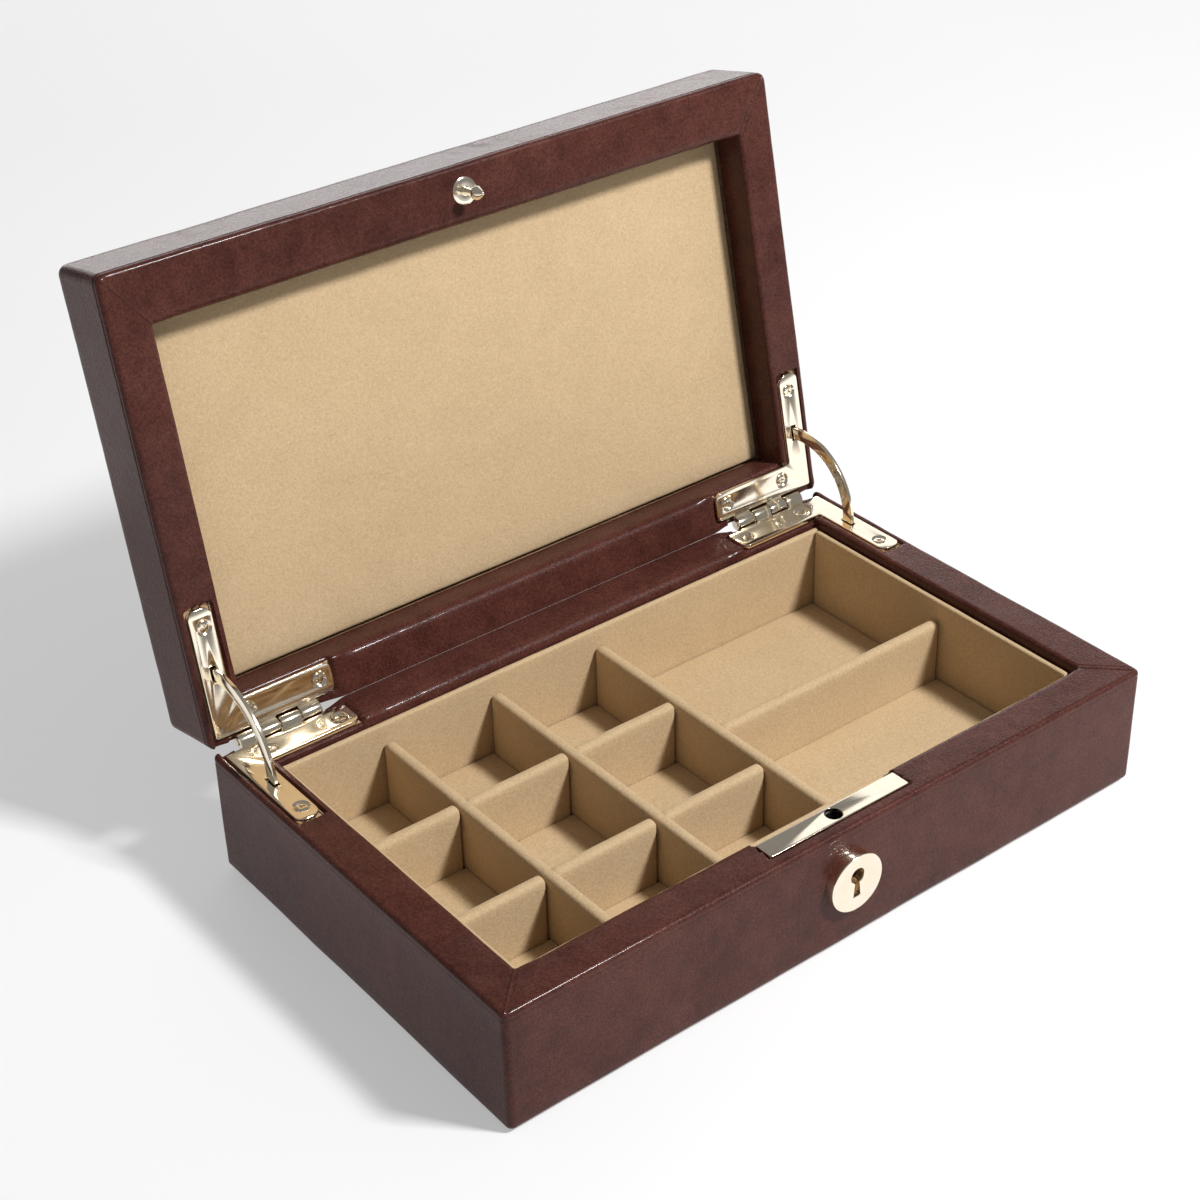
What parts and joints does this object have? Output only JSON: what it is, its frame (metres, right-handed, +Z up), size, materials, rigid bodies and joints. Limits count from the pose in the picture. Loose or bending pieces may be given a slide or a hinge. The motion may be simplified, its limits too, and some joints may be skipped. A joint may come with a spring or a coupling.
{
  "type": "jewellery case",
  "caption": "Leather-covered jewellery case with a hinged lid on two stays, a suede-lined tray of small compartments, and a front lock.",
  "frame": {"origin": "centre of the underside, on the surface that the case stands on", "axes": "+X along the width to the right, +Y to the back where the lid is hinged, +Z up; stored with the lid open against its stays"},
  "size_m": [0.23, 0.195, 0.1752],
  "materials": {
    "burgundy_leather": "semi-gloss, fine grain",
    "tan_suede": "matt suede nap over board",
    "poplar_board": "sawn, hidden under the leather",
    "brown_felt": "matt felt",
    "pale_gold_plate": "polished pale gold plate",
    "lock_steel": "plain steel"
  },
  "bodies": {
    "base": {"base_left_board": "poplar_board", "base_right_board": "poplar_board", "base_front_board": "poplar_board", "base_back_board": "poplar_board", "base_floor_board": "poplar_board", "base_leather": "burgundy_leather", "base_felt": "brown_felt", "tray_front_wall": "tan_suede", "tray_back_wall": "tan_suede", "tray_left_wall": "tan_suede", "tray_right_wall": "tan_suede", "tray_floor": "tan_suede", "column_divider_1": "tan_suede", "column_divider_2": "tan_suede", "column_divider_3": "tan_suede", "row_divider_1a": "tan_suede", "row_divider_1b": "tan_suede", "row_divider_2a": "tan_suede", "row_divider_2b": "tan_suede", "row_divider_3a": "tan_suede", "row_divider_3b": "tan_suede", "wide_divider": "tan_suede", "base_left_hinge_leaf": "pale_gold_plate", "base_right_hinge_leaf": "pale_gold_plate", "base_left_screw_1": "pale_gold_plate", "base_left_screw_2": "pale_gold_plate", "base_left_screw_3": "pale_gold_plate", "base_right_screw_1": "pale_gold_plate", "base_right_screw_2": "pale_gold_plate", "base_right_screw_3": "pale_gold_plate", "left_hinge_pin": "pale_gold_plate", "right_hinge_pin": "pale_gold_plate", "lock_face_plate": "pale_gold_plate", "lock_case": "lock_steel", "lock_spring": "lock_steel", "key_post": "lock_steel", "escutcheon": "pale_gold_plate"},
    "lid": {"lid_left_board": "poplar_board", "lid_right_board": "poplar_board", "lid_front_board": "poplar_board", "lid_back_board": "poplar_board", "lid_top_board": "poplar_board", "lid_leather": "burgundy_leather", "lid_lining_panel": "tan_suede", "lid_left_hinge_leaf": "pale_gold_plate", "lid_right_hinge_leaf": "pale_gold_plate", "lid_left_screw_1": "pale_gold_plate", "lid_left_screw_2": "pale_gold_plate", "lid_left_screw_3": "pale_gold_plate", "lid_right_screw_1": "pale_gold_plate", "lid_right_screw_2": "pale_gold_plate", "lid_right_screw_3": "pale_gold_plate", "catch_stud": "pale_gold_plate", "stud_washer": "pale_gold_plate"},
    "left_stay": {"left_stay": "pale_gold_plate"},
    "right_stay": {"right_stay": "pale_gold_plate"},
    "lock_bolt": {"lock_bolt": "lock_steel"}
  },
  "joints": [
    {"name": "lid_hinge", "type": "hinge", "parent": "base", "child": "lid", "pos_m": [0, 0.06925, 0.04], "axis": [1, 0, 0], "range_deg": [0, 102]},
    {"name": "left_stay_swing", "type": "hinge", "parent": "base", "child": "left_stay", "pos_m": [-0.1084, 0.06925, 0.04], "axis": [1, 0, 0], "range_deg": [0, 51.5]},
    {"name": "right_stay_swing", "type": "hinge", "parent": "base", "child": "right_stay", "pos_m": [0.1084, 0.06925, 0.04], "axis": [1, 0, 0], "range_deg": [0, 51.5]},
    {"name": "lock_bolt_slide", "type": "slide", "parent": "base", "child": "lock_bolt", "axis": [-1, 0, 0], "range_m": [0, 0.004]}
  ],
  "couplings": [
    {"joint": "left_stay_swing", "follows": "lid_hinge", "ratio": 0.5},
    {"joint": "right_stay_swing", "follows": "lid_hinge", "ratio": 0.5}
  ]
}
